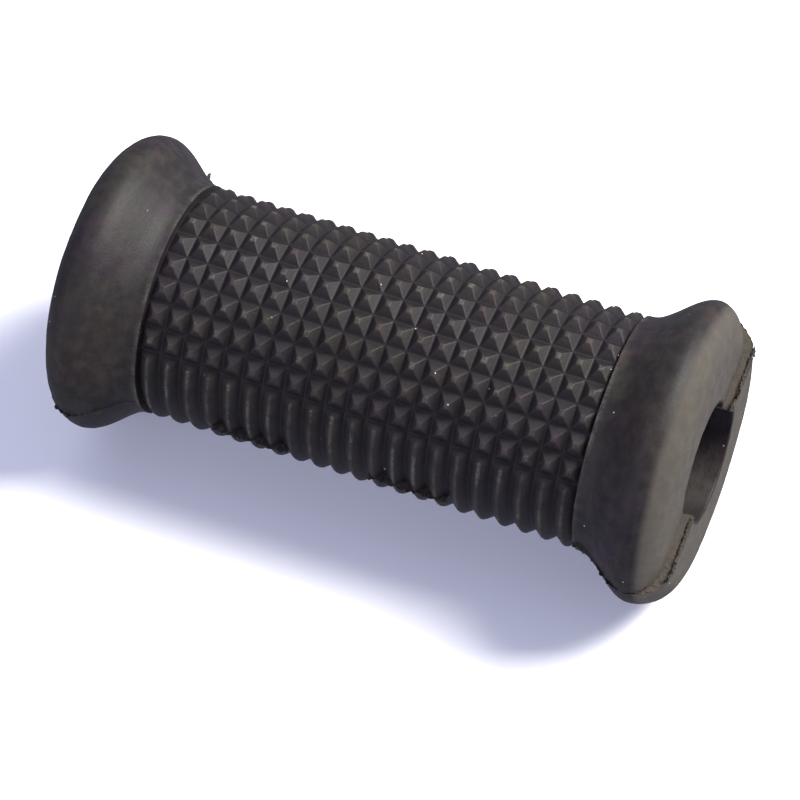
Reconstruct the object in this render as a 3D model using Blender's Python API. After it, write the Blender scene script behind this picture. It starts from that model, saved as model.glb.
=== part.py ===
"""Rubber sleeve of a motorcycle footrest, with the torn mould flash that is still on it.

The sleeve is one moulding: a tube with a rounded flange at each end and a tread between them. Three
quarters of the tread is rows of small square pyramids, and the last quarter is plain ribs that run
round it. The bore goes right through, and the footrest bar is pushed into it.

The bore's axis is X, the sleeve lies on its flanges, and +Z is up. Angles are turns about +X, so they
count from +Z towards -Y. The mould opened on a plane through the axis. The half on the -Y side is
called the front half here, and the other one the back half. At the +X end the back half is longer, so
its end face stands proud of the front half's.
"""

import math

import bmesh
import bpy
from mathutils import Matrix, Vector

MM = 0.001

# Sleeve
BORE_RADIUS = 8.25 * MM
BODY_RADIUS = 17.4 * MM          # over the pyramid tips, the ribs and the plain necks
FLANGE_RADIUS = 22.3 * MM
TREAD_LENGTH = 65.9 * MM
TREAD_CENTRE = -0.3 * MM         # the longer +X end moves the middle of the length off the tread's
CREST_FROM_CENTRE = 42.1 * MM    # where the flanges are widest
NECK_LENGTH = 0.5 * MM           # plain ring between the tread and the flange's curve
RIM_DROP = 6.1 * MM              # how far the flange's rim rounds in, towards the bore
LEFT_RIM = 4.8 * MM              # how far it rounds outwards along the axis, at the -X end
FRONT_RIM = 4.4 * MM             # the same at the +X end, on the front half
BACK_RIM = 6.0 * MM              # and on the back half

# Tread
RINGS = 21
ROWS_ROUND = 28                  # rows of the pyramids' width in a full turn
ROWS = 22                        # how many of them are pyramids
RIB_STEPS = 12
PATTERN_DEPTH = 1.1 * MM
PARTING_TURN = math.radians(-74.0)   # the upper parting line, in the middle of the pyramids

# Flash
FLASH_THICKNESS = 0.3 * MM
FLASH_GAP = 0.3 * MM
FLASH_HEIGHT = 0.6 * MM
STRIP_STEP = 1.2 * MM

CURVE_STEPS = 7
WELD = 0.001 * MM

ROW_TURN = 2 * math.pi / ROWS_ROUND
RIB_TURN = (ROWS_ROUND - ROWS) * ROW_TURN / RIB_STEPS
RING_PITCH = TREAD_LENGTH / RINGS
TREAD_END = TREAD_LENGTH / 2


def point_at(x, radius, turn):
    """The point at x on the axis, that far out from it, turned from +Z towards -Y."""
    return Vector((x, -radius * math.sin(turn), radius * math.cos(turn)))


def turn_of(point):
    """The turn of a point about the axis, counted from the upper parting line, from 0 to one turn."""
    return (math.atan2(-point.y, point.z) - PARTING_TURN) % (2 * math.pi)


def radius_of(point):
    return math.hypot(point.y, point.z)


def flange_curve(side):
    """From the neck up to the crest, a curve that is level at both ends."""
    start = TREAD_END + NECK_LENGTH
    points = []
    for step in range(CURVE_STEPS + 1):
        t = step / CURVE_STEPS
        rise = t * t * (3 - 2 * t)
        x = start + (CREST_FROM_CENTRE - start) * t
        points.append((TREAD_CENTRE + side * x, BODY_RADIUS + (FLANGE_RADIUS - BODY_RADIUS) * rise))
    return points


def rim_curve(side, length):
    """From just past the crest round to the end face, a quarter of an ellipse."""
    points = []
    for step in range(1, CURVE_STEPS + 1):
        angle = math.pi / 2 * step / CURVE_STEPS
        x = CREST_FROM_CENTRE + length * math.sin(angle)
        points.append((TREAD_CENTRE + side * x, FLANGE_RADIUS - RIM_DROP * (1 - math.cos(angle))))
    return points


def outer_profile(right_rim):
    """The outside from the -X bore mouth to the +X one, with one point for each tread groove."""
    left = [(TREAD_CENTRE - CREST_FROM_CENTRE - LEFT_RIM, BORE_RADIUS)]
    left += reversed(rim_curve(-1, LEFT_RIM))
    left += reversed(flange_curve(-1))
    left.append((TREAD_CENTRE - TREAD_END, BODY_RADIUS))
    grooves = [(TREAD_CENTRE - TREAD_END + ring * RING_PITCH, BODY_RADIUS - PATTERN_DEPTH)
               for ring in range(RINGS + 1)]
    right = [(TREAD_CENTRE + TREAD_END, BODY_RADIUS)]
    right += flange_curve(1)
    right += rim_curve(1, right_rim)
    right.append((TREAD_CENTRE + CREST_FROM_CENTRE + right_rim, BORE_RADIUS))
    return left + grooves + right


def section(right_rim):
    """The closed outline that is turned. Both halves have a point in the bore where the step begins."""
    outline = outer_profile(right_rim)
    if right_rim > FRONT_RIM:
        outline.append((TREAD_CENTRE + CREST_FROM_CENTRE + FRONT_RIM, BORE_RADIUS))
    return outline


def turn_half(mesh, outline, start, sectors):
    """Turns one half of the sleeve. Each sector is a number of steps and the turn of one step."""
    verts = [mesh.verts.new(point_at(x, radius, start)) for x, radius in outline]
    edges = [mesh.edges.new((verts[i], verts[(i + 1) % len(verts)])) for i in range(len(verts))]
    swept = verts + edges
    for steps, step_turn in sectors:
        result = bmesh.ops.spin(mesh, geom=swept, cent=(0, 0, 0), axis=(1, 0, 0), dvec=(0, 0, 0),
                                angle=steps * step_turn, steps=steps, use_duplicate=False)
        swept = result["geom_last"]


def tread_cell(face):
    """The ring and the angular step of a face on the tread's floor, or None for any other face."""
    middle = face.calc_center_median()
    from_start = middle.x - (TREAD_CENTRE - TREAD_END)
    if not 0 < from_start < TREAD_LENGTH or abs(face.normal.x) > 0.5:
        return None
    if radius_of(middle) < (BORE_RADIUS + BODY_RADIUS) / 2:
        return None
    return int(from_start / RING_PITCH), turn_of(middle)


def raise_pyramids(mesh):
    """Joins the two faces of each cell and lifts a tip from their middle."""
    half_arc = ROWS / 2 * ROW_TURN
    cells = {}
    for face in mesh.faces:
        cell = tread_cell(face)
        if cell is None:
            continue
        ring, turn = cell
        if turn < half_arc:
            cells.setdefault((ring, int(turn / ROW_TURN)), []).append(face)
        elif turn > 2 * math.pi - half_arc:
            row = int((2 * math.pi - turn) / ROW_TURN)
            cells.setdefault((ring, -1 - row), []).append(face)
    floors = [bmesh.utils.face_join(pair) for pair in cells.values()]
    poked = bmesh.ops.poke(mesh, faces=floors, offset=PATTERN_DEPTH, center_mode="MEAN")
    for tip in poked["verts"]:
        tip.co = point_at(tip.co.x, BODY_RADIUS, turn_of(tip.co) + PARTING_TURN)


def raise_ribs(mesh):
    """Splits the plain cells across their middle and lifts the new points into a ridge."""
    half_arc = ROWS / 2 * ROW_TURN
    margin = RIB_TURN / 2
    lengthwise = set()
    for face in mesh.faces:
        cell = tread_cell(face)
        if cell is None or not half_arc < cell[1] < 2 * math.pi - half_arc:
            continue
        for edge in face.edges:
            middle = (edge.verts[0].co + edge.verts[1].co) / 2
            runs_along = abs(edge.verts[0].co.x - edge.verts[1].co.x) > RING_PITCH / 2
            if runs_along and half_arc + margin < turn_of(middle) < 2 * math.pi - half_arc - margin:
                lengthwise.add(edge)
    split = bmesh.ops.subdivide_edges(mesh, edges=list(lengthwise), cuts=1, use_single_edge=True)
    ridge = {item for item in split["geom_inner"] if isinstance(item, bmesh.types.BMVert)}
    for vert in ridge:
        vert.co = point_at(vert.co.x, BODY_RADIUS, turn_of(vert.co) + PARTING_TURN)


def rubber(name, colour, roughness):
    material = bpy.data.materials.new(name)
    material.use_nodes = True
    shader = material.node_tree.nodes["Principled BSDF"]
    shader.inputs["Base Color"].default_value = (*colour, 1.0)
    shader.inputs["Roughness"].default_value = roughness
    shader.inputs["Metallic"].default_value = 0.0
    return material


def add_object(name, mesh, material):
    """Makes the object from the edited mesh, with every face pointing out."""
    bmesh.ops.recalc_face_normals(mesh, faces=mesh.faces[:])
    data = bpy.data.meshes.new(name)
    mesh.to_mesh(data)
    mesh.free()
    data.materials.append(material)
    made = bpy.data.objects.new(name, data)
    bpy.context.collection.objects.link(made)
    return made


def make_sleeve(material):
    pyramids = (ROWS, ROW_TURN / 2)
    ribs = (RIB_STEPS // 2, RIB_TURN)
    mesh = bmesh.new()
    turn_half(mesh, section(FRONT_RIM), PARTING_TURN, [pyramids, ribs])
    turn_half(mesh, section(BACK_RIM), PARTING_TURN + math.pi, [ribs, pyramids])
    bmesh.ops.remove_doubles(mesh, verts=mesh.verts[:], dist=WELD)
    step_edges = [edge for edge in mesh.edges if edge.is_boundary]
    bmesh.ops.holes_fill(mesh, edges=step_edges, sides=0)
    bmesh.ops.recalc_face_normals(mesh, faces=mesh.faces[:])
    raise_ribs(mesh)
    raise_pyramids(mesh)
    sleeve = add_object("rubber_sleeve", mesh, material)
    sleeve.data.shade_smooth()
    sleeve.data.set_sharp_from_angle(angle=math.radians(24))
    return sleeve


def outside_radius(x):
    """The radius of the sleeve's outside at x, taking the tread as a plain cylinder."""
    profile = [point for point in outer_profile(FRONT_RIM) if point[1] >= BODY_RADIUS - WELD]
    for (x0, r0), (x1, r1) in zip(profile, profile[1:]):
        if x0 <= x <= x1 and x1 > x0:
            return r0 + (r1 - r0) * (x - x0) / (x1 - x0)
    return profile[-1][1]


def torn_height(distance):
    """An uneven edge: the sum of three waves that never quite line up."""
    wave = math.sin(distance * 1700) + math.sin(distance * 2900 + 1) + math.sin(distance * 4700 + 2)
    return FLASH_HEIGHT * (0.55 + 0.15 * wave)


def add_strip(mesh, inner, outer, across):
    """One closed thin strip between two rows of points, as thick as FLASH_THICKNESS along across."""
    shift = across * (FLASH_THICKNESS / 2)
    rows = [[mesh.verts.new(point + side * shift) for point in points]
            for side in (-1, 1) for points in (inner, outer)]
    low_in, low_out, high_in, high_out = rows
    for i in range(len(inner) - 1):
        mesh.faces.new((low_in[i], low_in[i + 1], low_out[i + 1], low_out[i]))
        mesh.faces.new((high_in[i], high_out[i], high_out[i + 1], high_in[i + 1]))
        mesh.faces.new((low_in[i], high_in[i], high_in[i + 1], low_in[i + 1]))
        mesh.faces.new((low_out[i], low_out[i + 1], high_out[i + 1], high_out[i]))
    for i in (0, -1):
        mesh.faces.new((low_in[i], low_out[i], high_out[i], high_in[i]))


def make_line_flash(name, turn, start, end, material):
    """A torn length of flash along a parting line, from start to end along X."""
    mesh = bmesh.new()
    across = Matrix.Rotation(turn, 3, "X") @ Vector((0, 1, 0))
    steps = round((end - start) / STRIP_STEP)
    places = [start + (end - start) * step / steps for step in range(steps + 1)]
    inner = [point_at(x, outside_radius(x) + FLASH_GAP, turn) for x in places]
    outer = [point_at(x, outside_radius(x) + FLASH_GAP + torn_height(x), turn) for x in places]
    add_strip(mesh, inner, outer, across)
    return add_object(name, mesh, material)


def make_step_flash(name, turn, front, material):
    """The torn skin on the step at the +X end, on one side of the bore.

    front is 1 where a growing turn leads to the front half, and -1 where it leads away from it.
    """
    mesh = bmesh.new()
    across = Matrix.Rotation(turn, 3, "X") @ Vector((0, -1, 0))
    clear = across * (front * (FLASH_GAP + FLASH_THICKNESS / 2))
    face = TREAD_CENTRE + CREST_FROM_CENTRE + FRONT_RIM + FLASH_GAP
    tip = TREAD_CENTRE + CREST_FROM_CENTRE + BACK_RIM - FLASH_GAP
    first = BORE_RADIUS + 2 * FLASH_GAP
    last = FLANGE_RADIUS - RIM_DROP
    steps = round((last - first) / STRIP_STEP)
    radii = [first + (last - first) * step / steps for step in range(steps + 1)]
    inner = [point_at(face, radius, turn) + clear for radius in radii]
    outer = [point_at(tip - torn_height(radius) / 2, radius, turn) + clear for radius in radii]
    add_strip(mesh, inner, outer, across)
    return add_object(name, mesh, material)


for old in list(bpy.data.objects):
    bpy.data.objects.remove(old, do_unlink=True)

black_rubber = rubber("black_rubber", (0.030, 0.027, 0.028), 0.55)
torn_rubber = rubber("torn_rubber", (0.045, 0.038, 0.034), 0.80)

make_sleeve(black_rubber)
for place, start, end in (("left_neck", -38, -34), ("tread", -18, -14), ("right_neck", 33, 37)):
    make_line_flash("flash_upper_" + place, PARTING_TURN, start * MM, end * MM, torn_rubber)
for place, start, end in (("left_flange", -45, -38), ("tread_left", -22, -10),
                          ("tread_right", 2, 14), ("right_flange", 33, 41)):
    make_line_flash("flash_lower_" + place, PARTING_TURN + math.pi, start * MM, end * MM, torn_rubber)
make_step_flash("flash_step_above_bore", PARTING_TURN, 1, torn_rubber)
make_step_flash("flash_step_below_bore", PARTING_TURN + math.pi, -1, torn_rubber)
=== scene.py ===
# %% [markdown]
# # A rubber footrest sleeve
# The real part is one rubber moulding that is pushed onto a motorcycle's footrest bar: a tube with a rounded
# flange at each end, and between the flanges a tread that keeps a boot from slipping. Its mould opened in
# two halves, and at the parting lines and at one end the squeezed-out rubber, the flash, was torn off.
#
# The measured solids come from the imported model, as a fixed frame. The pieces below are finer meshes that
# stand for them, in the same place and at the same size.

# %% The frame
import math

import bmesh
import bpy
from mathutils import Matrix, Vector


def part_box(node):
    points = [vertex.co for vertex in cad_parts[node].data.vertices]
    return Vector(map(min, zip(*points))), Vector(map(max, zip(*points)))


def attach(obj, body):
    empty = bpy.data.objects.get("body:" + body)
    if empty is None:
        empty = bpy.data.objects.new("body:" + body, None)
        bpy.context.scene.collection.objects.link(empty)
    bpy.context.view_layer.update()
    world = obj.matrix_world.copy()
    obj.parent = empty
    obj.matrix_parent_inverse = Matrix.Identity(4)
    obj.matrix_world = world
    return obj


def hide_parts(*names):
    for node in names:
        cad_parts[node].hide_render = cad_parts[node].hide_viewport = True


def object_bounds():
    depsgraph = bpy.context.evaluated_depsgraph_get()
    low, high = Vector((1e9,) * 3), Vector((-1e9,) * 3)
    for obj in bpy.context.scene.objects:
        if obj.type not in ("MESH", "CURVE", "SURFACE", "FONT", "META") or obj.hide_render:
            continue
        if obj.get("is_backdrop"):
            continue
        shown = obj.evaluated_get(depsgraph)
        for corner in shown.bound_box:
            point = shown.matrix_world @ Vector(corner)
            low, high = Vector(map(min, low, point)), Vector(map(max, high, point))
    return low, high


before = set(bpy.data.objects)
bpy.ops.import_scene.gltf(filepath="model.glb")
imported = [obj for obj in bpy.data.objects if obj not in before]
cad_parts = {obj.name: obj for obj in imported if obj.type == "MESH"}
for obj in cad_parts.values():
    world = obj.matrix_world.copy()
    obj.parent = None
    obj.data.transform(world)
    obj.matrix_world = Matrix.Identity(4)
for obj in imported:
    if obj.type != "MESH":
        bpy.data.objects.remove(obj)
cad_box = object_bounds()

MM = 0.001
sleeve_low, sleeve_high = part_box("rubber_sleeve")
print("the sleeve is", round((sleeve_high.x - sleeve_low.x) / MM, 1), "mm long")

# %% [markdown]
# ## Sizes and directions
# The sleeve's axis is X. A turn is an angle about that axis, counted from straight up towards the front
# (-Y). The mould's parting plane goes through the axis and leans far back, so one parting line runs along
# the upper back and the other along the lower front. The half above the plane is called the front half.
#
# The lengths that the frame can tell are read from it, and the rest are the part's own driving dimensions.

# %% Driving dimensions
FLANGE_RADIUS = 22.3 * MM
LEFT_FACE = sleeve_low.x
BACK_FACE = sleeve_high.x
BORE_RADIUS = 8.25 * MM
BODY_RADIUS = 17.4 * MM
TREAD_LENGTH = 65.9 * MM
TREAD_CENTRE = -0.3 * MM
CREST_FROM_CENTRE = 42.1 * MM
NECK_LENGTH = 0.5 * MM
RIM_DROP = 6.1 * MM
FRONT_RIM = 4.4 * MM
PARTING_TURN = math.radians(-74.0)

TREAD_START = TREAD_CENTRE - TREAD_LENGTH / 2
TREAD_END = TREAD_CENTRE + TREAD_LENGTH / 2
LEFT_CREST = TREAD_CENTRE - CREST_FROM_CENTRE
RIGHT_CREST = TREAD_CENTRE + CREST_FROM_CENTRE
FRONT_FACE = RIGHT_CREST + FRONT_RIM


def point_at(x, radius, turn):
    """The point at x on the axis, that far out from it, turned from straight up towards the front."""
    return Vector((x, -radius * math.sin(turn), radius * math.cos(turn)))


TO_FRONT = point_at(0, 1, PARTING_TURN + math.pi / 2)
print("the step at the +X end is", round((BACK_FACE - FRONT_FACE) / MM, 2), "mm")

# %% [markdown]
# ## Working by hand, from a script
# Every operator below is one that has a button in Blender. A script has no mouse, so it needs a way to say
# which points, edges or faces are meant: `pick` selects the ones for which a small test is true, and nothing
# else. Nothing may be left selected from before, so each step starts by picking. Subdividing leaves new points
# in no fixed order, and random moves are dealt out in that order, so `shake` sorts the points first, by how far
# they are from a place well off the part.

# %% Helpers for edit mode
SORT_FROM = Vector((0.137, -0.211, 0.071))


def edit(piece):
    """Goes into edit mode on this piece alone."""
    bpy.ops.object.select_all(action="DESELECT")
    bpy.context.view_layer.objects.active = piece
    piece.select_set(True)
    bpy.ops.object.mode_set(mode="EDIT")


def pick(kind, wanted):
    """Selects only the points (VERT), edges or faces that wanted() is true of, and counts them."""
    bpy.ops.mesh.select_mode(type=kind)
    bpy.ops.mesh.select_all(action="DESELECT")
    mesh = bmesh.from_edit_mesh(bpy.context.edit_object.data)
    items = {"VERT": mesh.verts, "EDGE": mesh.edges, "FACE": mesh.faces}[kind]
    chosen = [item for item in items if wanted(item)]
    for item in chosen:
        item.select_set(True)
    mesh.select_flush_mode()
    bmesh.update_edit_mesh(bpy.context.edit_object.data)
    return len(chosen)


def draw_chain(name, points):
    """A new object that is one line of points: a plane is merged to a point, which is then extruded."""
    bpy.ops.object.select_all(action="DESELECT")
    bpy.ops.mesh.primitive_plane_add(size=MM, location=(0, 0, 0))
    piece = bpy.context.object
    piece.name = name
    piece.data.name = name
    bpy.ops.object.mode_set(mode="EDIT")
    bpy.ops.mesh.select_mode(type="VERT")
    bpy.ops.mesh.select_all(action="SELECT")
    bpy.ops.mesh.merge(type="CENTER")
    bpy.ops.transform.translate(value=points[0])
    for here, there in zip(points, points[1:]):
        bpy.ops.mesh.extrude_vertices_move(TRANSFORM_OT_translate={"value": there - here})
    return piece


def shake(offset, seed):
    """Moves the selected points at random, in the same way each run."""
    bpy.context.scene.cursor.location = SORT_FROM
    bpy.ops.mesh.sort_elements(type="CURSOR_DISTANCE", elements={"VERT"})
    bpy.context.scene.cursor.location = (0, 0, 0)
    bpy.ops.transform.vertex_random(offset=offset, uniform=1, normal=0, seed=seed)


def apply_modifier(piece, kind, **settings):
    """Adds a modifier with these settings and applies it."""
    modifier = piece.modifiers.new(kind.lower(), kind)
    for setting, value in settings.items():
        setattr(modifier, setting, value)
    bpy.context.view_layer.objects.active = piece
    bpy.ops.object.modifier_apply(modifier=modifier.name)


# %% [markdown]
# ## The sleeve's outline
# A turned shape starts as half of its section. The outline goes once round the rubber: along the outside from
# one end face to the other, and back through the bore. The flange rises from the neck in a curve that is level
# at both ends, and rounds over its crest in a quarter of an ellipse. The tread is drawn at the depth of its
# grooves, because it is easier to raise a pattern from a plain floor than to cut it in.

# %% Outline
RINGS = 21
PATTERN_DEPTH = 1.1 * MM
FLANGE_STEPS = 16
RIM_STEPS = 12
FACE_STEPS = 4
BORE_STEPS = 24
FLOOR_RADIUS = BODY_RADIUS - PATTERN_DEPTH
RING_PITCH = TREAD_LENGTH / RINGS


def flange_curve(neck, crest):
    """From the neck to the crest, along the outside."""
    steps = [step / FLANGE_STEPS for step in range(FLANGE_STEPS + 1)]
    return [(neck + (crest - neck) * t,
             BODY_RADIUS + (FLANGE_RADIUS - BODY_RADIUS) * t * t * (3 - 2 * t)) for t in steps]


def rim_curve(crest, face):
    """From just past the crest round to the end face, and in to the bore."""
    quarter = [math.pi / 2 * step / RIM_STEPS for step in range(1, RIM_STEPS + 1)]
    rounded = [(crest + (face - crest) * math.sin(angle),
                FLANGE_RADIUS - RIM_DROP * (1 - math.cos(angle))) for angle in quarter]
    rim_end = FLANGE_RADIUS - RIM_DROP
    flat = [(face, rim_end + (BORE_RADIUS - rim_end) * step / FACE_STEPS)
            for step in range(1, FACE_STEPS + 1)]
    return rounded + flat


left_side = flange_curve(TREAD_START - NECK_LENGTH, LEFT_CREST) + rim_curve(LEFT_CREST, LEFT_FACE)
right_side = flange_curve(TREAD_END + NECK_LENGTH, RIGHT_CREST) + rim_curve(RIGHT_CREST, BACK_FACE)
tread_floor = [(TREAD_START + RING_PITCH * half / 2, FLOOR_RADIUS) for half in range(2 * RINGS + 1)]
bore = [(FRONT_FACE + (LEFT_FACE - FRONT_FACE) * step / BORE_STEPS, BORE_RADIUS)
        for step in range(BORE_STEPS)]
outside = (left_side[::-1] + [(TREAD_START, BODY_RADIUS)] + tread_floor
           + [(TREAD_END, BODY_RADIUS)] + right_side)
outline = outside + bore + outside[:1]
print(len(outline), "points in the outline")

# %% [markdown]
# ## Turning it
# The outline is drawn where a parting line is, and Spin turns it about the axis. The number of steps is a
# multiple of the tread's rows, so that every row's edge and both parting lines fall on a line of points.

# %% Spin
ROWS_ROUND = 28
STEPS_IN_ROW = 4
WELD = 0.002 * MM

sleeve = draw_chain("sleeve", [point_at(x, radius, PARTING_TURN) for x, radius in outline])
bpy.ops.mesh.select_all(action="SELECT")
bpy.ops.mesh.spin(steps=ROWS_ROUND * STEPS_IN_ROW, angle=2 * math.pi, center=(0, 0, 0), axis=(1, 0, 0))
bpy.ops.mesh.select_all(action="SELECT")
bpy.ops.mesh.remove_doubles(threshold=WELD)
bpy.ops.mesh.normals_make_consistent(inside=False)
bpy.ops.object.mode_set(mode="OBJECT")
print("turned sleeve:", len(sleeve.data.polygons), "faces")

# %% [markdown]
# ## Finding a place on the tread
# The pattern is laid out in rings along the axis and rows around it. These two functions say how many rings
# and rows a point lies from the tread's start and from the upper parting line. Rows 0 to 11 and 17 to 28 are
# pyramids, and the six rows between, on both sides of the lower parting line, are plain ribs.

# %% Rings and rows
ROW_TURN = 2 * math.pi / ROWS_ROUND
FIRST_RIB_ROW = 11
LAST_RIB_ROW = 17
SAME = 0.02


def radius_of(point):
    return math.hypot(point.y, point.z)


def ring_at(point):
    return (point.x - TREAD_START) / RING_PITCH


def row_at(point):
    """How many rows round from the upper parting line, towards the front."""
    return (math.atan2(-point.y, point.z) - PARTING_TURN) % (2 * math.pi) / ROW_TURN


def is_whole(number):
    return abs(number - round(number)) < SAME


def in_tread(point):
    """True between the tread's end walls, on the outside."""
    return -SAME < ring_at(point) < RINGS + SAME and radius_of(point) > (BORE_RADIUS + FLOOR_RADIUS) / 2


def in_ribs(point):
    return FIRST_RIB_ROW < row_at(point) < LAST_RIB_ROW


def middle(edge):
    return (edge.verts[0].co + edge.verts[1].co) / 2


def is_lengthwise(edge):
    return abs(edge.verts[0].co.x - edge.verts[1].co.x) > WELD


print("a cell is", round(RING_PITCH / MM, 2), "x", round(ROW_TURN * BODY_RADIUS / MM, 2), "mm")

# %% [markdown]
# ## The pyramids
# Each cell of the grid becomes one small pyramid. The finer lines inside a cell are dissolved, which leaves
# one plain rectangle, and Poke puts a point in its middle and lifts it. The points are then bevelled to small
# flat tops. An Array of one modelled pyramid would also do, but it would still have to be bent round the body
# and welded to its neighbours.

# %% Poke the cells
POINT_RADIUS = BODY_RADIUS + 0.38 * MM
POINT_LIFT = POINT_RADIUS - FLOOR_RADIUS * math.cos(ROW_TURN / 2)
TOP_CUT = 0.72 * MM


def splits_a_cell(edge):
    point = middle(edge)
    if not in_tread(point) or in_ribs(point) or radius_of(point) > FLOOR_RADIUS + WELD:
        return False
    if is_lengthwise(edge):
        return not is_whole(row_at(point))
    return not is_whole(ring_at(point))


def is_cell(face):
    point = face.calc_center_median()
    return in_tread(point) and not in_ribs(point) and abs(face.normal.x) < 0.5


edit(sleeve)
pick("EDGE", splits_a_cell)
bpy.ops.mesh.dissolve_edges(use_verts=True)
cells = pick("FACE", is_cell)
bpy.ops.mesh.poke(offset=POINT_LIFT)
pick("VERT", lambda vert: in_tread(vert.co) and radius_of(vert.co) > BODY_RADIUS + WELD)
bpy.ops.mesh.bevel(offset=TOP_CUT, affect="VERTICES", clamp_overlap=False)
bpy.ops.object.mode_set(mode="OBJECT")
print(cells, "pyramids")

# %% [markdown]
# ## The ribs
# On the lower front the grooves between the rings are the same, but nothing divides a ring, so it is a rib.
# The line of points along the middle of each ring is scaled out from the axis, and its edge is bevelled until
# it is a round crest. The ends of the ribs are left sloping, as the mould's cutter left them.

# %% Raise and round the ribs
RIB_LIFT = PATTERN_DEPTH + 0.14 * MM
RIB_ROUNDING = 0.42 * MM
RIB_SEGMENTS = 4
rib_scale = (FLOOR_RADIUS + RIB_LIFT) / FLOOR_RADIUS


def on_rib_line(vert):
    inside = FIRST_RIB_ROW + SAME < row_at(vert.co) < LAST_RIB_ROW - SAME
    return in_tread(vert.co) and inside and not is_whole(ring_at(vert.co))


def is_rib_crest(edge):
    return not is_lengthwise(edge) and all(on_rib_line(vert) for vert in edge.verts)


edit(sleeve)
pick("VERT", on_rib_line)
bpy.ops.transform.resize(value=(1, rib_scale, rib_scale), center_override=(0, 0, 0))
crests = pick("EDGE", is_rib_crest)
bpy.ops.mesh.bevel(offset=RIB_ROUNDING, segments=RIB_SEGMENTS, clamp_overlap=False)
bpy.ops.object.mode_set(mode="OBJECT")
print(crests, "edges of rib crest rounded")

# %% [markdown]
# ## Softening the tread
# A mould's sharp corner never fills quite full, and rubber wears, so no edge of the tread is a knife edge. A
# small bevel on the ridges, the tips and the bottoms of the grooves also catches a thin line of light.

# %% Bevel ridges and grooves
EDGE_ROUNDING = 0.2 * MM
LEAST_CORNER = math.radians(14)
FLOOR_SLACK = 0.04 * MM


def at_floor(vert):
    return radius_of(vert.co) < FLOOR_RADIUS + FLOOR_SLACK


def is_tread_corner(edge):
    point = middle(edge)
    if not in_tread(point) or edge.calc_face_angle(0) < LEAST_CORNER:
        return False
    on_wall_top = all(is_whole(ring_at(vert.co) / RINGS) for vert in edge.verts)
    return on_wall_top or not in_ribs(point) or all(at_floor(vert) for vert in edge.verts)


edit(sleeve)
corners = pick("EDGE", is_tread_corner)
bpy.ops.mesh.bevel(offset=EDGE_ROUNDING, segments=2, clamp_overlap=False)
bpy.ops.object.mode_set(mode="OBJECT")
print(corners, "edges softened")

# %% [markdown]
# ## The step at the +X end
# The two halves of the mould were not equally deep here, so the back half ends 1.6 mm further out. The rim is
# split along both parting lines, the front half's rim is squashed towards the crest, and the gap that opens
# between the halves is filled with a wall. The real wall is torn rubber, so it is divided and roughened, and
# the points that this pushed out past the end face are laid flat on it again.

# %% Split, squash and fill
TEAR = 0.11 * MM
WALL_CUTS = 2


def from_parting(point):
    return point.dot(TO_FRONT)


def is_past_crest(point):
    """True on the rim, on the end face and in the mouth of the bore at the +X end."""
    past = RIGHT_CREST if radius_of(point) > BORE_RADIUS + WELD else FRONT_FACE
    return point.x > past + WELD


def is_step_edge(edge):
    on_line = all(abs(from_parting(vert.co)) < WELD for vert in edge.verts)
    return on_line and is_past_crest(middle(edge))


def is_front_rim(vert):
    in_front = all(from_parting(face.calc_center_median()) > 0 for face in vert.link_faces)
    return in_front and is_past_crest(vert.co)


edit(sleeve)
pick("EDGE", is_step_edge)
bpy.ops.mesh.edge_split(type="EDGE")
pick("VERT", is_front_rim)
squash = FRONT_RIM / (BACK_FACE - RIGHT_CREST)
bpy.ops.transform.resize(value=(squash, 1, 1), center_override=(RIGHT_CREST, 0, 0))
bpy.ops.mesh.select_all(action="SELECT")
bpy.ops.mesh.remove_doubles(threshold=WELD)
for side in (-1, 1):
    pick("EDGE", lambda edge: edge.is_boundary and side * middle(edge).z > 0)
    bpy.ops.mesh.fill(use_beauty=True)
    bpy.ops.mesh.subdivide(number_cuts=WALL_CUTS)
    shake(TEAR, 5 + side)
pick("VERT", lambda vert: vert.co.x > BACK_FACE)
bpy.ops.transform.resize(value=(0, 1, 1), center_override=(BACK_FACE, 0, 0))
bpy.ops.mesh.select_all(action="SELECT")
bpy.ops.mesh.normals_make_consistent(inside=False)
print("open edges left:", pick("EDGE", lambda edge: edge.is_boundary))
bpy.ops.object.mode_set(mode="OBJECT")

# %% [markdown]
# ## Bore mouths and the parting bead
# The mouths of the bore have a small radius, so that the sleeve starts easily on the bar. Along both parting
# lines the flanges and necks carry a fine raised bead, where rubber crept between the halves of the mould:
# the line of points is bevelled to two thin strips, and the line between them is pushed out.

# %% Mouths and bead
MOUTH_ROUNDING = 0.4 * MM
BEAD_HALF_WIDTH = 0.16 * MM
BEAD_HEIGHT = 0.1 * MM


def is_mouth(edge):
    at_bore = all(abs(radius_of(vert.co) - BORE_RADIUS) < 0.1 * MM for vert in edge.verts)
    return at_bore and edge.calc_face_angle(0) > 1 and abs(edge.verts[0].co.x - edge.verts[1].co.x) < TEAR


def on_bead(point):
    outside_tread = not -SAME < ring_at(point) < RINGS + SAME
    on_line = abs(from_parting(point)) < WELD and radius_of(point) > BODY_RADIUS - WELD
    return on_line and outside_tread and point.x < RIGHT_CREST + WELD


edit(sleeve)
mouths = pick("EDGE", is_mouth)
bpy.ops.mesh.bevel(offset=MOUTH_ROUNDING, segments=3, clamp_overlap=True)
pick("EDGE", lambda edge: all(on_bead(vert.co) for vert in edge.verts))
bpy.ops.mesh.bevel(offset=BEAD_HALF_WIDTH, segments=2, clamp_overlap=False)
bead = pick("VERT", lambda vert: on_bead(vert.co))
bpy.ops.transform.shrink_fatten(value=BEAD_HEIGHT)
shake(BEAD_HEIGHT / 2, 11)
bpy.ops.object.mode_set(mode="OBJECT")
print(mouths, "mouth edges rounded,", bead, "points of bead raised")

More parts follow.
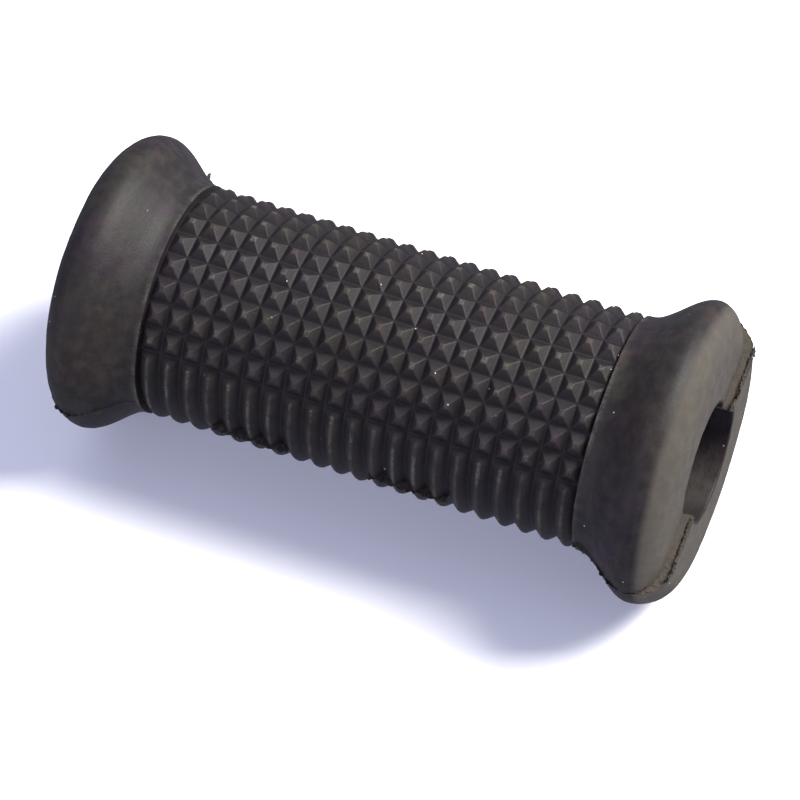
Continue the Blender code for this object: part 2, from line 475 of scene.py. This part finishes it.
# %% [markdown]
# ## Hand-made unevenness
# Soft rubber shrinks unevenly as it cools. Two Displace modifiers with cloud textures push the surface in by
# a tenth of a millimetre or so, one in broad soft waves and one in small lumps. They only push inwards, which
# keeps the part inside its true size. Weighted normals then keep the flat facets looking flat.

# %% Displace and shade
SMOOTH_BELOW = math.radians(50)


def unevenness(piece, name, lump_size, depth):
    texture = bpy.data.textures.new(name, "CLOUDS")
    texture.noise_scale = lump_size
    apply_modifier(piece, "DISPLACE", texture=texture, texture_coords="LOCAL", strength=depth, mid_level=1.0)


unevenness(sleeve, "shrinkage_waves", lump_size=9 * MM, depth=0.16 * MM)
unevenness(sleeve, "small_lumps", lump_size=1.2 * MM, depth=0.10 * MM)
bpy.ops.object.select_all(action="DESELECT")
sleeve.select_set(True)
bpy.ops.object.shade_smooth_by_angle(angle=SMOOTH_BELOW)
apply_modifier(sleeve, "WEIGHTED_NORMAL", keep_sharp=True)
print("sleeve:", len(sleeve.data.polygons), "faces")

# %% [markdown]
# ## Torn flash
# Where the mould leaked most, a thin skin of rubber stood along the parting line and was torn off, leaving
# ragged lengths. Each is a chain of points that follows the sleeve just under its surface, extruded outwards
# as a strip, pushed about at random, squashed nearly flat again, and given a thickness. In the tread it starts
# at the bottom of the grooves, which it fills. Every seventh edge is drawn out again and collapsed to a point,
# as a whisker. On the step the skin stands along the outer edge of the torn wall, a little in front of it.

# %% Flash along the parting lines
FLASH_HEIGHT = 0.42 * MM
FLASH_ROOT = 0.25 * MM
FLASH_SKIN = 0.12 * MM
FLASH_STEP = 0.45 * MM
FLASH_RAGGED = 0.28 * MM
FLATTEN = 0.3
WHISKER = 0.12 * MM
LONG_WHISKER = 0.6 * MM
WHISKER_EVERY = 7
PARTING_AXES = (Vector((1, 0, 0)), point_at(0, 1, PARTING_TURN), TO_FRONT)


def outside_radius(x):
    """The radius of the outline's outside at x, which in the tread is the depth of the grooves."""
    for (x0, r0), (x1, r1) in zip(outside, outside[1:]):
        if x0 <= x <= x1 and x1 > x0:
            return r0 + (r1 - r0) * (x - x0) / (x1 - x0)
    return BORE_RADIUS


def tear(piece, roots, outwards, whisker, seed):
    """Raises a ragged strip on the chain of points being edited, and gives it its thickness."""
    def spot(place):
        return tuple(round(c / WELD) for c in place)

    root_spots = {spot(root) for root in roots}

    def gets_whisker(edge):
        is_free = all(spot(vert.co) not in root_spots for vert in edge.verts)
        return edge.is_boundary and is_free and edge.index % WHISKER_EVERY == seed % WHISKER_EVERY

    bpy.ops.mesh.select_all(action="SELECT")
    bpy.ops.mesh.extrude_edges_move(TRANSFORM_OT_translate={"value": outwards})
    shake(FLASH_RAGGED, seed)
    bpy.ops.transform.resize(value=(1, 1, FLATTEN), orient_matrix=PARTING_AXES, orient_type="GLOBAL")
    pick("EDGE", gets_whisker)
    bpy.ops.mesh.extrude_edges_move(TRANSFORM_OT_translate={"value": outwards.normalized() * whisker})
    bpy.ops.mesh.merge(type="COLLAPSE")
    bpy.ops.mesh.select_all(action="SELECT")
    bpy.ops.mesh.subdivide(number_cuts=1)
    shake(FLASH_RAGGED / 4, seed + 1)
    bpy.ops.object.mode_set(mode="OBJECT")
    apply_modifier(piece, "SOLIDIFY", thickness=FLASH_SKIN, offset=0.0)
    edit(piece)
    bpy.ops.mesh.select_all(action="SELECT")
    bpy.ops.mesh.normals_make_consistent(inside=False)
    bpy.ops.object.mode_set(mode="OBJECT")


def line_flash(node, turn, height, whisker, seed):
    """The visible piece for one length of flash, along the outside over its CAD node's length."""
    low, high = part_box(node)
    steps = round((high.x - low.x) / FLASH_STEP)
    places = [low.x + (high.x - low.x) * step / steps for step in range(steps + 1)]
    roots = [point_at(x, outside_radius(x) - FLASH_ROOT, turn) for x in places]
    groove = max(BODY_RADIUS - outside_radius((low.x + high.x) / 2), 0)
    piece = draw_chain(node.replace("flash", "torn"), roots)
    tear(piece, roots, point_at(0, FLASH_ROOT + groove + height, turn), whisker, seed)
    return piece


flash = {}
for number, node in enumerate(sorted(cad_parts)):
    if node.startswith("flash_upper"):
        flash[node] = line_flash(node, PARTING_TURN, FLASH_HEIGHT, LONG_WHISKER, number)
    elif node.startswith("flash_lower"):
        flash[node] = line_flash(node, PARTING_TURN + math.pi, FLASH_HEIGHT / 2, WHISKER, number)
print(len(flash), "lengths of flash along the parting lines")

# %% [markdown]
# The skin on the step points along the axis. It must not stand out past the end face, so whatever does is laid
# flat at a limit just inside it.

# %% Flash on the step
STEP_ROOT = 0.55 * MM
STEP_HEIGHT = STEP_ROOT * 0.45
STEP_LIMIT = BACK_FACE - 0.02 * MM
STEP_INNER = BORE_RADIUS + 0.3 * MM
STEP_OUTER = FLANGE_RADIUS - RIM_DROP * 0.56


def step_flash(node, turn, seed):
    """The visible piece for the skin on the step, on one side of the bore."""
    steps = round((STEP_OUTER - STEP_INNER) / FLASH_STEP)
    radii = [STEP_INNER + (STEP_OUTER - STEP_INNER) * step / steps for step in range(steps + 1)]
    root_x = BACK_FACE - STEP_ROOT
    roots = [point_at(root_x, radius, turn) + TO_FRONT * FLASH_SKIN for radius in radii]
    piece = draw_chain(node.replace("flash", "torn"), roots)
    tear(piece, roots, Vector((STEP_HEIGHT, 0, 0)), WHISKER, seed)
    edit(piece)
    pick("VERT", lambda vert: vert.co.x > STEP_LIMIT)
    bpy.ops.transform.resize(value=(0, 1, 1), center_override=(STEP_LIMIT, 0, 0))
    bpy.ops.object.mode_set(mode="OBJECT")
    return piece


flash["flash_step_above_bore"] = step_flash("flash_step_above_bore", PARTING_TURN, 21)
flash["flash_step_below_bore"] = step_flash("flash_step_below_bore", PARTING_TURN + math.pi, 22)
print(len(flash), "lengths of torn flash in all")

# %% [markdown]
# ## Writing materials
# A material is a network of small nodes. To keep the sums readable, `Wire` stands for one output of a node,
# and adding or multiplying wires puts in the Math nodes. Every other node comes from `Finish.node`.

# %% Helpers for materials
class Wire:
    """One output of a node in a finish. Sums with it add Math nodes."""

    def __init__(self, finish, socket):
        self.finish = finish
        self.socket = socket

    def math(self, operation, *values):
        return self.finish.node("ShaderNodeMath", {"operation": operation}, values)

    def __add__(self, other):
        return self.math("ADD", self, other)

    def __sub__(self, other):
        return self.math("SUBTRACT", self, other)

    def __rsub__(self, other):
        return self.math("SUBTRACT", other, self)

    def __mul__(self, other):
        return self.math("MULTIPLY", self, other)

    def __pow__(self, other):
        return self.math("POWER", self, other)

    def __abs__(self):
        return self.math("ABSOLUTE", self)

    __radd__ = __add__
    __rmul__ = __mul__


class Finish:
    """A new material, with one method that adds any node to it."""

    def __init__(self, name):
        self.material = bpy.data.materials.new(name)
        self.material.use_nodes = True
        self.tree = self.material.node_tree
        self.shader = self.tree.nodes["Principled BSDF"]
        self.place = self.node("ShaderNodeTexCoord", {}, (), "Object")

    def feed(self, socket, value):
        if isinstance(value, Wire):
            self.tree.links.new(value.socket, socket)
        else:
            socket.default_value = value

    def node(self, kind, settings, values, output=0):
        made = self.tree.nodes.new(kind)
        for setting, value in settings.items():
            setattr(made, setting, value)
        for key, value in (values.items() if isinstance(values, dict) else enumerate(values)):
            self.feed(made.inputs[key], value)
        return Wire(self, made.outputs[output])

    def noise(self, scale, detail=3.0, place=None, roughness=0.55):
        values = {"Vector": place or self.place, "Scale": scale, "Detail": detail, "Roughness": roughness}
        return self.node("ShaderNodeTexNoise", {}, values)

    def between(self, value, low, high):
        """0 below low, 1 above high, and a smooth rise between them."""
        values = {"Value": value, "From Min": low, "From Max": high}
        return self.node("ShaderNodeMapRange", {"interpolation_type": "SMOOTHSTEP"}, values)

    def mix(self, factor, first, second):
        """From the first colour to the second."""
        made = self.tree.nodes.new("ShaderNodeMix")
        made.data_type = "RGBA"
        sockets = [socket for socket in made.inputs if socket.enabled]
        for socket, value in zip(sockets, (factor, first, second)):
            self.feed(socket, value)
        return Wire(self, next(socket for socket in made.outputs if socket.enabled))

    def axes(self):
        """The object's x, y and z at the point that is shaded."""
        return [self.node("ShaderNodeSeparateXYZ", {}, (self.place,), name) for name in "XYZ"]

    def bump(self, height, strength, distance):
        values = {"Height": height, "Strength": strength, "Distance": distance}
        self.feed(self.shader.inputs["Normal"], self.node("ShaderNodeBump", {}, values, "Normal"))


print("materials are written with", Wire.__name__, "and", Finish.__name__)

# %% [markdown]
# ## Black rubber
# Old black rubber is never one black. Here brown, green and violet blacks drift into each other, and the
# mould's polishing marks run round the axis. Dry dust lies on the tops of the pyramids, and the rim and the
# face of the +X end carry dust together with a painted highlight band. Some tips are rubbed paler, and the
# bottoms of the grooves are darkened with painted shade and some dirt, so they stay the blackest. A few bright
# specks, painted glints with some dust, sit on the surface, and a fine grain breaks up the shine. The step's
# wall is torn, so it is brown and rough. All of that is worked out from the place on the part, so the work
# starts with masks: numbers that are 1 where something is and 0 where it isn't.

# %% Masks for the rubber
PER_MM = 1 / MM


def place_masks(finish):
    """Where a point of the sleeve is: on the tread, a tip, a groove (for painted shade), the +X end's rim (for
    a painted highlight) or the torn wall.
    """
    x, y, z = finish.axes()
    radius = (y * y + z * z) ** 0.5
    on_tread = finish.between(abs(x - TREAD_CENTRE), TREAD_LENGTH / 2 + MM, TREAD_LENGTH / 2)
    tips = on_tread * finish.between(radius, BODY_RADIUS - 0.35 * MM, BODY_RADIUS)
    # the bottoms of the grooves, which are later darkened with painted shade and some dirt
    groove = on_tread * finish.between(radius, FLOOR_RADIUS + 0.75 * MM, FLOOR_RADIUS + 0.05 * MM)
    outside_bore = finish.between(radius, BORE_RADIUS + 0.2 * MM, BORE_RADIUS + MM)
    # the rim and face of the +X end: this mask gets a painted highlight band along with dust
    rim_highlight_and_dust = outside_bore * finish.between(x, RIGHT_CREST + MM, RIGHT_CREST + 2.4 * MM)
    from_plane = abs(y * TO_FRONT.y + z * TO_FRONT.z)
    on_wall = finish.between(from_plane + finish.blotch * (0.25 * MM), 0.45 * MM, 0.3 * MM)
    torn = on_wall * finish.between(x, RIGHT_CREST + 0.5 * MM, RIGHT_CREST + 1.5 * MM)
    return on_tread, tips, groove, rim_highlight_and_dust, torn


def marks_round_axis(finish):
    """Long streaks round the axis, as polishing leaves in a mould."""
    x, y, z = finish.axes()
    radius = (y * y + z * z) ** 0.5
    turn = finish.node("ShaderNodeMath", {"operation": "ARCTAN2"}, (y, z))
    values = (x * (1.1 * PER_MM), radius * (1.1 * PER_MM), turn * 1.5)
    return finish.noise(1.0, 3.0, finish.node("ShaderNodeCombineXYZ", {}, values))


def glint_and_dust_specks(finish):
    """A small round speck, a painted glint with some dust, in about a quarter of the cells of a Voronoi
    pattern.
    """
    values = {"Vector": finish.place, "Scale": 0.40 * PER_MM}
    cell = finish.node("ShaderNodeTexVoronoi", {}, values, "Color")
    reach = finish.node("ShaderNodeTexVoronoi", {}, values, "Distance")
    lot = finish.node("ShaderNodeSeparateColor", {}, (cell,), "Red")
    return finish.between(lot, 0.72, 0.74) * finish.between(reach, 0.055, 0.03)

# %% [markdown]
# The masks and noises are then mixed, from the broadest drift of colour to the smallest speck. The same grain
# and blotches also steer the roughness and the bump, so that colour and relief belong together.

# %% The rubber's finish
BROWN_BLACK = (0.024, 0.018, 0.015, 1)
GREEN_BLACK = (0.014, 0.015, 0.012, 1)
VIOLET_BLACK = (0.019, 0.013, 0.019, 1)
# DEEP_BLACK is also the painted shade at the bottoms of the grooves
DEEP_BLACK = (0.006, 0.005, 0.006, 1)
# the beige of dust, also used for the painted highlight band on the +X rim
DUST_AND_HIGHLIGHT = (0.092, 0.083, 0.064, 1)
RUBBED = (0.13, 0.125, 0.12, 1)
GLINT_AND_DUST_SPECK = (0.42, 0.40, 0.38, 1)
TORN_BROWN = (0.060, 0.051, 0.042, 1)
RUBBER_SHINE = 0.25
DRIFT_SHIFT = (0.3, 0.1, 0.2)


def black_rubber():
    finish = Finish("black_rubber")
    finish.blotch = finish.noise(0.5 * PER_MM, detail=5.0)
    blotch = finish.blotch
    grain = finish.noise(2.6 * PER_MM, detail=4.0)
    streaks = marks_round_axis(finish)
    on_tread, tips, groove, rim_highlight_and_dust, torn = place_masks(finish)

    shifted = finish.node("ShaderNodeVectorMath", {"operation": "ADD"}, (finish.place, DRIFT_SHIFT))
    broad = finish.between(finish.noise(0.07 * PER_MM), 0.35, 0.65)
    drift = finish.between(finish.noise(0.16 * PER_MM, place=shifted), 0.4, 0.6)
    dusty_tips = tips * (0.14 + finish.between(blotch, 0.35, 0.75) * 0.35)
    dusty_marks = (1 - on_tread) * finish.between(streaks * 0.5 + blotch * 0.5, 0.48, 0.62) * 0.05
    # the rim's share of this is a painted highlight band as well as dust; the tips and flange marks are dust
    dust_and_rim_highlight = dusty_tips + rim_highlight_and_dust * (0.42 + blotch * 0.25) + dusty_marks
    rubbed = tips * finish.between(grain * 0.7 + drift * 0.3, 0.54, 0.70)

    colour = finish.mix(broad, BROWN_BLACK, VIOLET_BLACK)
    colour = finish.mix(drift * 0.6, colour, GREEN_BLACK)
    colour = finish.mix(finish.between(blotch, 0.60, 0.35) * 0.45, colour, DEEP_BLACK)
    # painted shade, with some dirt: the bottoms of the grooves are darkened
    colour = finish.mix(groove * 0.75, colour, DEEP_BLACK)
    colour = finish.mix(dust_and_rim_highlight, colour, DUST_AND_HIGHLIGHT)
    colour = finish.mix(rubbed * 0.5, colour, RUBBED)
    colour = finish.mix(torn, colour, TORN_BROWN)
    # painted glints, with some dust: small bright specks
    colour = finish.mix(glint_and_dust_specks(finish), colour, GLINT_AND_DUST_SPECK)
    finish.feed(finish.shader.inputs["Base Color"], colour)
    finish.feed(finish.shader.inputs["Specular IOR Level"], RUBBER_SHINE)

    rough = 0.44 + grain * 0.14 + blotch * 0.14 + dust_and_rim_highlight * 0.3 + torn * 0.25
    finish.feed(finish.shader.inputs["Roughness"], rough)
    relief = grain * 0.9 + streaks * (1 - on_tread) * 0.8 + blotch * 1.2 + torn * grain * 3.0
    finish.bump(relief, 0.5, 0.08 * MM)
    return finish.material


rubber = black_rubber()
print(len(rubber.node_tree.nodes), "nodes in the rubber")

# %% [markdown]
# ## Torn rubber
# A torn edge shows the inside of the rubber: it is browner, quite matt and crumbly. The same noise drives the
# colour and a strong bump, so that the light parts are also the raised ones.

# %% The torn finish
TORN_DARK = (0.016, 0.013, 0.012, 1)


def torn_rubber():
    finish = Finish("torn_rubber")
    crumbs = finish.noise(2.2 * PER_MM, 5.0)
    patches = finish.noise(0.4 * PER_MM, 3.0)
    colour = finish.mix(finish.between(crumbs * 0.7 + patches * 0.3, 0.48, 0.70), TORN_DARK, TORN_BROWN)
    finish.feed(finish.shader.inputs["Base Color"], colour)
    finish.feed(finish.shader.inputs["Roughness"], 0.7 + crumbs * 0.2)
    finish.bump(crumbs, 0.8, 0.15 * MM)
    return finish.material


torn = torn_rubber()
print(len(torn.node_tree.nodes), "nodes in the torn rubber")

# %% [markdown]
# ## Handing the pieces to the frame
# Each piece gets its finish, rides on the part's one body, and stands for the plain solid in its place.

# %% Ride and replace
def hand_over(piece, node, finish):
    piece.data.materials.clear()
    piece.data.materials.append(finish)
    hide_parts(node)
    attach(piece, "root")


hand_over(sleeve, "rubber_sleeve", rubber)
for node, piece in flash.items():
    hand_over(piece, node, torn)
print(1 + len(flash), "pieces in place")

# %% [markdown]
# ## Floor, light and camera
# The part lies on a plain white floor in bright, soft light. The main light comes from behind and the right,
# and the sky fills the shadows with a little blue. The floor glows faintly, as a light table does, so that the
# shadow stays pale, and the rubber's shine doesn't show it, because that would make the underside look grey.
# The camera looks down on the front, from a little to the right.

# %% Floor
FLOOR_SIZE = 6.0
FLOOR_GLOW = (0.15, 0.165, 0.235, 1)
FLOOR_GREY = (0.80, 0.80, 0.81, 1)
FLOOR_WHITE = (0.84, 0.84, 0.84, 1)

bpy.ops.object.select_all(action="DESELECT")
bpy.ops.mesh.primitive_plane_add(size=FLOOR_SIZE, location=(0, 0, cad_box[0].z))
floor = bpy.context.object
floor.name = "floor"
floor_finish = Finish("white_floor")
shade = floor_finish.mix(floor_finish.noise(20.0), FLOOR_GREY, FLOOR_WHITE)
floor_finish.feed(floor_finish.shader.inputs["Base Color"], shade)
floor_finish.feed(floor_finish.shader.inputs["Roughness"], 0.9)
floor_finish.feed(floor_finish.shader.inputs["Emission Color"], FLOOR_GLOW)
floor_finish.feed(floor_finish.shader.inputs["Emission Strength"], 1.0)
floor.data.materials.append(floor_finish.material)
floor.visible_glossy = False
floor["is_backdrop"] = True
print("floor at z =", round(floor.location.z / MM, 2), "mm")

# %% [markdown]
# The directions that matter here are the camera's own: its right, its up, and back towards it.

# %% Camera
CAMERA_AZIMUTH = math.radians(21.74)
CAMERA_ELEVATION = math.radians(51.57)
CAMERA_DISTANCE = 480 * MM
CAMERA_LENS = 150.8
AIM_RIGHT = 0.61 * MM
AIM_DOWN = 4.96 * MM

flat_back = Vector((math.sin(CAMERA_AZIMUTH), -math.cos(CAMERA_AZIMUTH), 0))
back = flat_back * math.cos(CAMERA_ELEVATION) + Vector((0, 0, math.sin(CAMERA_ELEVATION)))
right = Vector((math.cos(CAMERA_AZIMUTH), math.sin(CAMERA_AZIMUTH), 0))
up = back.cross(right)
aim = Vector((TREAD_CENTRE, 0, 0)) + right * AIM_RIGHT - up * AIM_DOWN
bpy.ops.object.camera_add(location=aim + back * CAMERA_DISTANCE)
camera = bpy.context.object
camera.rotation_euler = back.to_track_quat("Z", "Y").to_euler()
camera.data.lens = CAMERA_LENS
camera.data.sensor_width = 36.0
camera.data.clip_start = 0.01
bpy.context.scene.camera = camera
print("camera at", tuple(round(c, 3) for c in camera.location))

# %% [markdown]
# One large light is the window. A wide, weak and bluer one is the ceiling, a low one is a pale wall to the
# front and left, which keeps the underside from going black, and the world is what is left.

# %% Lights
SKY = (0.70, 0.72, 1.0, 1)
SKY_STRENGTH = 0.43


def soft_light(name, direction, distance, size, power, colour):
    """A square area light that far from the part, in that direction, facing it, and unseen itself."""
    towards = direction.normalized()
    bpy.ops.object.light_add(type="AREA", location=towards * distance)
    light = bpy.context.object
    light.name = name
    light.rotation_euler = towards.to_track_quat("Z", "Y").to_euler()
    light.data.size = size
    light.data.energy = power
    light.data.color = colour
    light.visible_camera = False


overhead = Vector((0, 0, 1))
soft_light("window", right * 0.85 - flat_back * 0.12 + overhead * 1.1,
           distance=1.2, size=0.5, power=36, colour=(1.0, 0.97, 0.93))
soft_light("ceiling", -right * 0.25 - flat_back * 0.35 + overhead,
           distance=1.6, size=1.6, power=5, colour=(0.74, 0.80, 1.0))
soft_light("wall", -right * 0.9 + flat_back * 0.6 + overhead * 0.12,
           distance=0.8, size=0.6, power=3, colour=(0.95, 0.87, 1.0))
world = bpy.data.worlds.new("sky")
world.use_nodes = True
background = world.node_tree.nodes["Background"]
background.inputs["Color"].default_value = SKY
background.inputs["Strength"].default_value = SKY_STRENGTH
bpy.context.scene.world = world
bpy.context.scene.view_settings.view_transform = "Standard"
print("three lights and a sky")

# %% [markdown]
# ## Size
# The visible pieces have to keep the measured size, so both boxes are printed.

# %% Boxes
visible_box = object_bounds()
for name, (low, high) in (("CAD", cad_box), ("visible", visible_box)):
    print(name, [round(c / MM, 2) for c in low], [round(c / MM, 2) for c in high])
